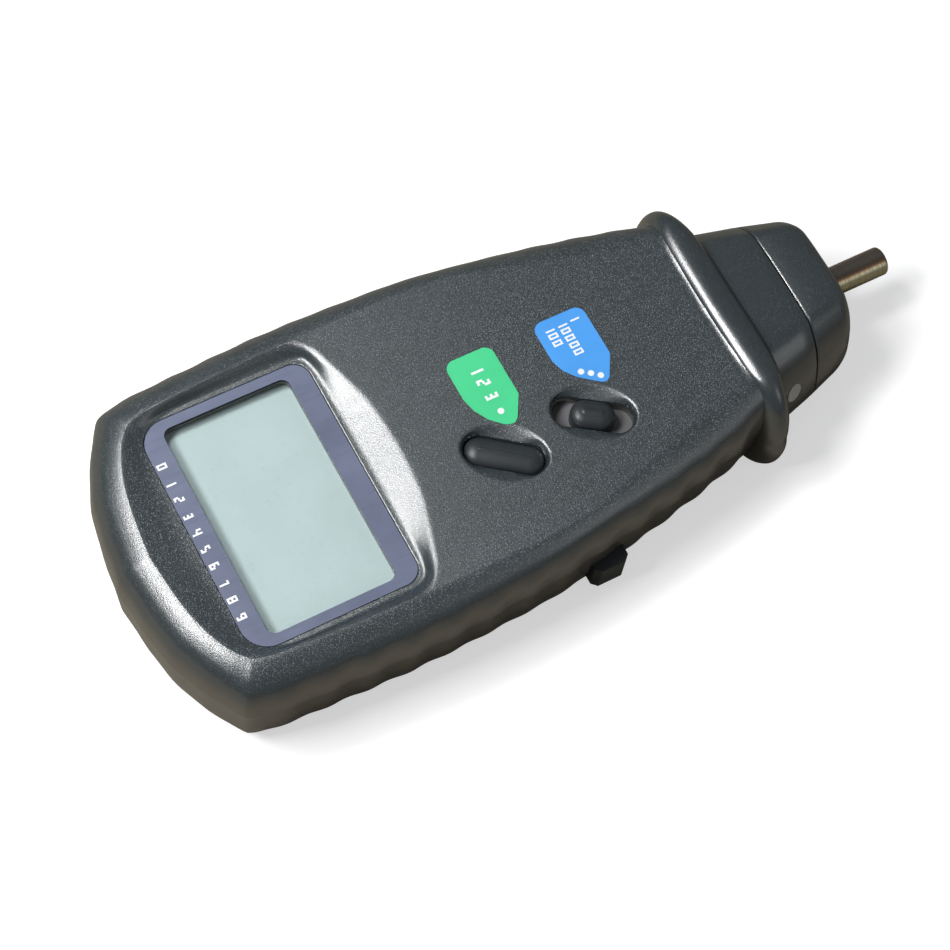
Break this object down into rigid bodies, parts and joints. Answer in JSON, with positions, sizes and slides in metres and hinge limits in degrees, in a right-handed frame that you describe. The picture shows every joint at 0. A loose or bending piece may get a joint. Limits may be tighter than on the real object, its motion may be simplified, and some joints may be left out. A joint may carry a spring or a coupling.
{
  "type": "contact tachometer",
  "caption": "Hand-held contact tachometer: two-shell case with window, dished controls, side key, collar, tapered neck and a steel drive spindle at its head.",
  "frame": {"origin": "middle of the bounding box's bottom, on the surface that the back rests on", "axes": "+Y from the display end to the spindle's tip, +Z out of the display face, +X to the right when the display is read"},
  "size_m": [0.0768, 0.184, 0.03],
  "materials": {
    "case": "satin painted shell with a fine sparkle",
    "control": "soft satin rubber",
    "window": "clear acrylic with a printed border",
    "display": "grey-green liquid crystal cell",
    "board": "green solder mask",
    "steel": "turned steel",
    "bronze": "sintered bronze",
    "moulding": "black moulded plastic",
    "pale_moulding": "pale moulded plastic",
    "strip": "layered silicone",
    "cast": "machined aluminium",
    "cell": "printed sleeve",
    "blue_label": "printed film",
    "green_label": "printed film"
  },
  "bodies": {
    "case": {"top_case": "case", "bottom_case": "case", "end_cap": "case", "window": "window", "lcd_glass": "display", "lcd_frame": "pale_moulding", "contact_strips": "strip", "main_board": "board", "microcontroller": "moulding", "crystal": "steel", "capacitor": "moulding", "memory_switch": "moulding", "mode_switch": "steel", "measure_switch": "moulding", "key_board": "board", "front_bush": "bronze", "rear_bush": "bronze", "bearing_block": "cast", "photo_interrupter": "moulding", "sensor_board": "board", "battery_cells": "cell", "battery_springs": "steel", "battery_plates": "steel", "case_screws": "steel", "board_screws": "steel", "mode_label": "blue_label", "memory_label": "green_label"},
    "spindle": {"spindle": "steel", "encoder_disc": "moulding", "retaining_rings": "steel"},
    "memory_button": {"memory_button": "control", "memory_plunger": "pale_moulding"},
    "mode_knob": {"mode_knob": "control", "mode_slider": "pale_moulding"},
    "measure_key": {"measure_key": "control", "measure_plunger": "pale_moulding"},
    "battery_cover": {"battery_cover": "case"}
  },
  "joints": [
    {"name": "spindle_turn", "type": "hinge", "parent": "case", "child": "spindle", "pos_m": [0, 0.06, 0.0124], "axis": [0, 1, 0], "continuous": true},
    {"name": "memory_press", "type": "slide", "parent": "case", "child": "memory_button", "axis": [0, 0, -1], "range_m": [0, 0.0005], "stiffness_N_per_m": 3000},
    {"name": "mode_slide", "type": "slide", "parent": "case", "child": "mode_knob", "axis": [0.5678, 0.8231, 0], "range_m": [-0.0035, 0.0035]},
    {"name": "measure_press", "type": "slide", "parent": "case", "child": "measure_key", "axis": [-1, 0, 0], "range_m": [0, 0.0008], "stiffness_N_per_m": 3000},
    {"name": "cover_slide", "type": "slide", "parent": "case", "child": "battery_cover", "axis": [0, -1, 0], "range_m": [0, 0.062]}
  ]
}
